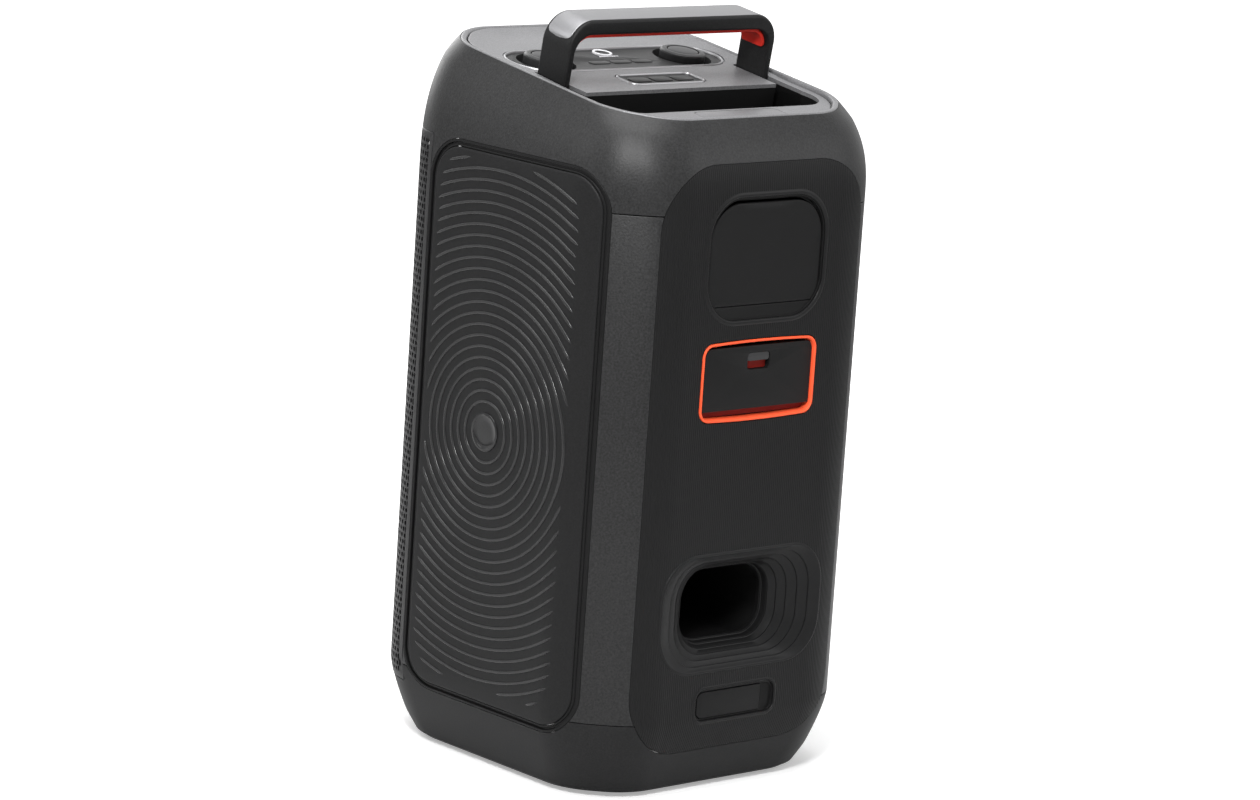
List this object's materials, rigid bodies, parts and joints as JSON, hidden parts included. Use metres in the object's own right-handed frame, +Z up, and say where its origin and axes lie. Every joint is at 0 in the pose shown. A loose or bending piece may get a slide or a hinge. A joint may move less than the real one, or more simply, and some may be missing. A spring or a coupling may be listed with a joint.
{
  "type": "portable party speaker",
  "caption": "Tall portable party speaker with a folding top handle, knobs on a tilted deck, a slide-out battery, flap-covered jacks and a flared rear bass port.",
  "frame": {"origin": "middle of the footprint, on the floor plane under the rubber feet", "axes": "+Z up, -Y to the grille side that faces the listener, +Y to the rear panel with battery and jacks"},
  "size_m": [0.287, 0.2988, 0.5974],
  "materials": {
    "shell_plastic": "fine moulded grain, soft sheen",
    "panel_plastic": "fine grain, dark",
    "trim_plastic": "smooth dark",
    "grille_steel": "black powder coat, perforated",
    "deck_plastic": "metallic grey fine grain",
    "bezel_plastic": "satin silver edge",
    "control_plastic": "satin black",
    "knob_plastic": "satin dark grey",
    "handle_plastic": "grained dark strap",
    "handle_metal": "brushed",
    "red_rubber": "soft red lining",
    "orange_plastic": "satin orange red",
    "black_rubber": "matte",
    "light_diffuser": "milky diffuser",
    "cone_paper": "coated pulp",
    "driver_steel": "black coated steel",
    "plated_steel": "zinc plated",
    "chassis_metal": "mill finish",
    "board": "solder mask",
    "cell_wrap": "shrink wrap",
    "amber_cloth": "resin cloth"
  },
  "bodies": {
    "cabinet": {"base_cover": "shell_plastic", "cabinet_shell": "shell_plastic", "top_cover": "shell_plastic", "rubber_feet": "black_rubber", "rear_panel": "panel_plastic", "side_panel_left": "panel_plastic", "side_panel_right": "panel_plastic", "side_trim_left": "trim_plastic", "side_trim_right": "trim_plastic", "front_grille": "grille_steel", "front_baffle": "trim_plastic", "light_rings": "light_diffuser", "woofer_baskets": "driver_steel", "woofer_magnets": "driver_steel", "woofer_surrounds": "black_rubber", "woofer_spiders": "amber_cloth", "tweeters": "driver_steel", "driver_screws": "plated_steel", "top_deck": "deck_plastic", "stowage_well": "trim_plastic", "rim_insert": "deck_plastic", "control_panel": "control_plastic", "control_bezel": "bezel_plastic", "pill_bezel": "bezel_plastic", "pill_panel": "control_plastic", "knob_encoders": "plated_steel", "button_board": "board", "handle_pins": "plated_steel", "handle_brackets": "plated_steel", "jack_tray": "trim_plastic", "jack_sockets": "plated_steel", "battery_bay": "trim_plastic", "battery_rim": "orange_plastic", "port_flare": "panel_plastic", "port_tube": "panel_plastic", "mains_inlet": "trim_plastic", "chassis_plate": "chassis_metal", "power_board": "board", "amplifier_board": "board"},
    "handle": {"handle_strap": "handle_plastic", "handle_plate": "handle_metal", "handle_underlay": "red_rubber"},
    "jack_cover": {"jack_flap": "panel_plastic"},
    "mains_cover": {"mains_flap": "panel_plastic"},
    "battery": {"battery_case": "panel_plastic", "battery_cells": "cell_wrap"},
    "latch": {"battery_latch": "plated_steel"},
    "left_knob": {"knob_left": "knob_plastic"},
    "right_knob": {"knob_right": "knob_plastic"},
    "left_cap": {"knob_cap_left": "knob_plastic"},
    "right_cap": {"knob_cap_right": "knob_plastic"},
    "power_key": {"power_button": "control_plastic"},
    "strip_key_left": {"strip_buttons_left": "control_plastic"},
    "strip_key_middle": {"strip_buttons_middle": "control_plastic"},
    "strip_key_right": {"strip_buttons_right": "control_plastic"},
    "pill_key_left": {"pill_button_left": "control_plastic"},
    "pill_key_middle": {"pill_button_middle": "control_plastic"},
    "pill_key_right": {"pill_button_right": "control_plastic"},
    "upper_cone": {"woofer_cone_upper": "cone_paper"},
    "lower_cone": {"woofer_cone_lower": "cone_paper"}
  },
  "joints": [
    {"name": "handle_hinge", "type": "hinge", "parent": "cabinet", "child": "handle", "pos_m": [0, 0.00386, 0.53077], "axis": [1, 0, 0], "range_deg": [-90, 0]},
    {"name": "jack_flap_hinge", "type": "hinge", "parent": "cabinet", "child": "jack_cover", "pos_m": [0, 0.1474, 0.388], "axis": [1, 0, 0], "range_deg": [-100, 0]},
    {"name": "mains_flap_hinge", "type": "hinge", "parent": "cabinet", "child": "mains_cover", "pos_m": [-0.0275, 0.1478, 0.0735], "axis": [0, 0, 1], "range_deg": [0, 100]},
    {"name": "battery_slide", "type": "slide", "parent": "cabinet", "child": "battery", "axis": [0, 1, 0], "range_m": [0, 0.125]},
    {"name": "latch_slide", "type": "slide", "parent": "battery", "child": "latch", "axis": [0, 0, 1], "range_m": [-0.006, 0], "stiffness_N_per_m": 150, "springref_m": 0.002},
    {"name": "left_knob_turn", "type": "hinge", "parent": "cabinet", "child": "left_knob", "pos_m": [0.071, -0.04154, 0.55171], "axis": [0, 0.1478, 0.989], "continuous": true},
    {"name": "left_cap_press", "type": "slide", "parent": "cabinet", "child": "left_cap", "axis": [0, 0.1478, 0.989], "range_m": [-0.0008, 0], "stiffness_N_per_m": 1200, "springref_m": 0.0005},
    {"name": "right_knob_turn", "type": "hinge", "parent": "cabinet", "child": "right_knob", "pos_m": [-0.071, -0.04154, 0.55171], "axis": [0, 0.1478, 0.989], "continuous": true},
    {"name": "right_cap_press", "type": "slide", "parent": "cabinet", "child": "right_cap", "axis": [0, 0.1478, 0.989], "range_m": [-0.0008, 0], "stiffness_N_per_m": 1200, "springref_m": 0.0005},
    {"name": "power_press", "type": "slide", "parent": "cabinet", "child": "power_key", "axis": [0, 0.1478, 0.989], "range_m": [-0.0008, 0], "stiffness_N_per_m": 600, "springref_m": 0.0005},
    {"name": "strip_left_press", "type": "slide", "parent": "cabinet", "child": "strip_key_left", "axis": [0, 0.1478, 0.989], "range_m": [-0.0008, 0], "stiffness_N_per_m": 600, "springref_m": 0.0005},
    {"name": "pill_left_press", "type": "slide", "parent": "cabinet", "child": "pill_key_left", "axis": [0, 0.1478, 0.989], "range_m": [-0.0008, 0], "stiffness_N_per_m": 600, "springref_m": 0.0005},
    {"name": "strip_middle_press", "type": "slide", "parent": "cabinet", "child": "strip_key_middle", "axis": [0, 0.1478, 0.989], "range_m": [-0.0008, 0], "stiffness_N_per_m": 600, "springref_m": 0.0005},
    {"name": "pill_middle_press", "type": "slide", "parent": "cabinet", "child": "pill_key_middle", "axis": [0, 0.1478, 0.989], "range_m": [-0.0008, 0], "stiffness_N_per_m": 600, "springref_m": 0.0005},
    {"name": "strip_right_press", "type": "slide", "parent": "cabinet", "child": "strip_key_right", "axis": [0, 0.1478, 0.989], "range_m": [-0.0008, 0], "stiffness_N_per_m": 600, "springref_m": 0.0005},
    {"name": "pill_right_press", "type": "slide", "parent": "cabinet", "child": "pill_key_right", "axis": [0, 0.1478, 0.989], "range_m": [-0.0008, 0], "stiffness_N_per_m": 600, "springref_m": 0.0005},
    {"name": "upper_cone_travel", "type": "slide", "parent": "cabinet", "child": "upper_cone", "axis": [0, 1, 0], "range_m": [-0.004, 0.004], "stiffness_N_per_m": 1500},
    {"name": "lower_cone_travel", "type": "slide", "parent": "cabinet", "child": "lower_cone", "axis": [0, 1, 0], "range_m": [-0.004, 0.004], "stiffness_N_per_m": 1500}
  ]
}
